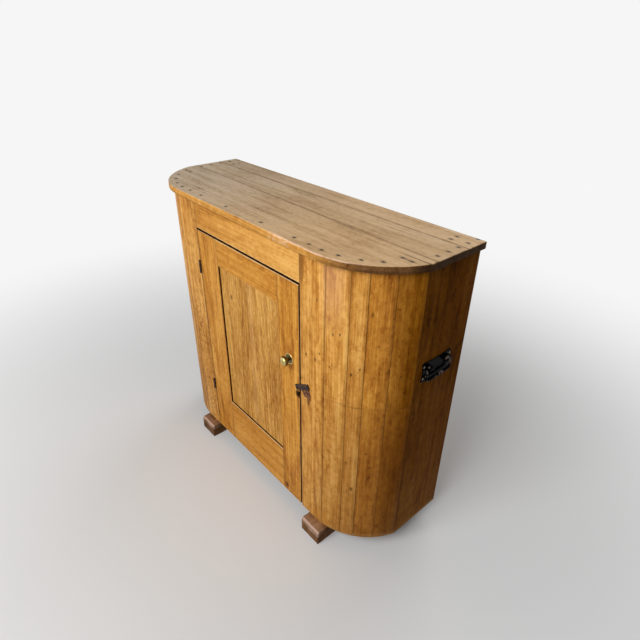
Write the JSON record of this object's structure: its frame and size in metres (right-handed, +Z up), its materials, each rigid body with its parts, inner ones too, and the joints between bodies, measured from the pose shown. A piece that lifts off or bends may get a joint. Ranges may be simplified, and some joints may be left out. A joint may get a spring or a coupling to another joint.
{
  "type": "buffet cabinet",
  "caption": "Low pine buffet cabinet with rounded front corners, a framed door, inner shelves and an iron lifting handle at each end.",
  "frame": {"origin": "on the floor, below the middle of the whole cabinet", "axes": "+X to the right along the front, -Y to the front where the door is, +Y to the back, +Z up"},
  "size_m": [1.261, 0.437, 1.119],
  "materials": {
    "honey_pine": "old wax over honey-coloured pine, satin",
    "top_pine": "worn and greyed pine, dull",
    "inside_pine": "bare aged pine, matt",
    "bearer_wood": "dark reddish softwood, worn at the edges",
    "old_brass": "polished by use, darker in the recesses",
    "black_japanned_iron": "glossy black lacquer, chipped",
    "dark_iron": "dark aged iron, dull",
    "rusted_iron": "rusted, matt"
  },
  "bodies": {
    "case": {"top_board_back": "top_pine", "top_board_middle": "top_pine", "top_board_front": "top_pine", "frieze_rail": "honey_pine", "front_board_left": "honey_pine", "front_board_right": "honey_pine", "stave_left_1": "honey_pine", "stave_left_2": "honey_pine", "stave_left_3": "honey_pine", "stave_left_4": "honey_pine", "stave_right_1": "honey_pine", "stave_right_2": "honey_pine", "stave_right_3": "honey_pine", "stave_right_4": "honey_pine", "side_board_left": "honey_pine", "side_board_right": "honey_pine", "back_board_1": "inside_pine", "back_board_2": "inside_pine", "back_board_3": "inside_pine", "back_board_4": "inside_pine", "back_board_5": "inside_pine", "back_rail": "inside_pine", "base_board_front": "inside_pine", "base_board_back": "inside_pine", "top_former_left": "inside_pine", "top_former_right": "inside_pine", "lower_shelf_front": "inside_pine", "lower_shelf_back": "inside_pine", "upper_shelf_front": "inside_pine", "upper_shelf_back": "inside_pine", "shelf_cleats": "inside_pine", "door_stop": "inside_pine", "bearer_left": "bearer_wood", "bearer_right": "bearer_wood", "top_nails": "dark_iron", "hinge_upper_case_leaf": "dark_iron", "hinge_lower_case_leaf": "dark_iron", "hinge_pins": "dark_iron", "hinge_case_screws": "dark_iron", "latch_keeper": "rusted_iron", "keeper_nails": "rusted_iron", "handle_plate_left": "black_japanned_iron", "handle_plate_right": "black_japanned_iron", "handle_screws": "dark_iron"},
    "door": {"door_stile_left": "honey_pine", "door_stile_right": "honey_pine", "door_rail_top": "honey_pine", "door_rail_bottom": "honey_pine", "door_panel": "honey_pine", "hinge_upper_door_leaf": "dark_iron", "hinge_lower_door_leaf": "dark_iron", "hinge_door_screws": "dark_iron", "knob": "old_brass", "knob_rose": "old_brass", "knob_nut": "old_brass", "latch_screw": "dark_iron"},
    "latch_bar": {"latch_bar": "dark_iron"},
    "bail_left": {"bail_left": "black_japanned_iron"},
    "bail_right": {"bail_right": "black_japanned_iron"}
  },
  "joints": [
    {"name": "door_hinge", "type": "hinge", "parent": "case", "child": "door", "pos_m": [-0.28465, -0.1848, 0.64], "axis": [0, 0, -1], "range_deg": [0, 165]},
    {"name": "latch_bar_turn", "type": "hinge", "parent": "door", "child": "latch_bar", "pos_m": [0.288, -0.1805, 0.619], "axis": [0, -1, 0], "range_deg": [0, 62]},
    {"name": "bail_right_swing", "type": "hinge", "parent": "case", "child": "bail_right", "pos_m": [0.623, 0.0845, 0.771], "axis": [0, -1, 0], "range_deg": [0, 95]},
    {"name": "bail_left_swing", "type": "hinge", "parent": "case", "child": "bail_left", "pos_m": [-0.623, 0.0845, 0.771], "axis": [0, 1, 0], "range_deg": [0, 95]}
  ]
}
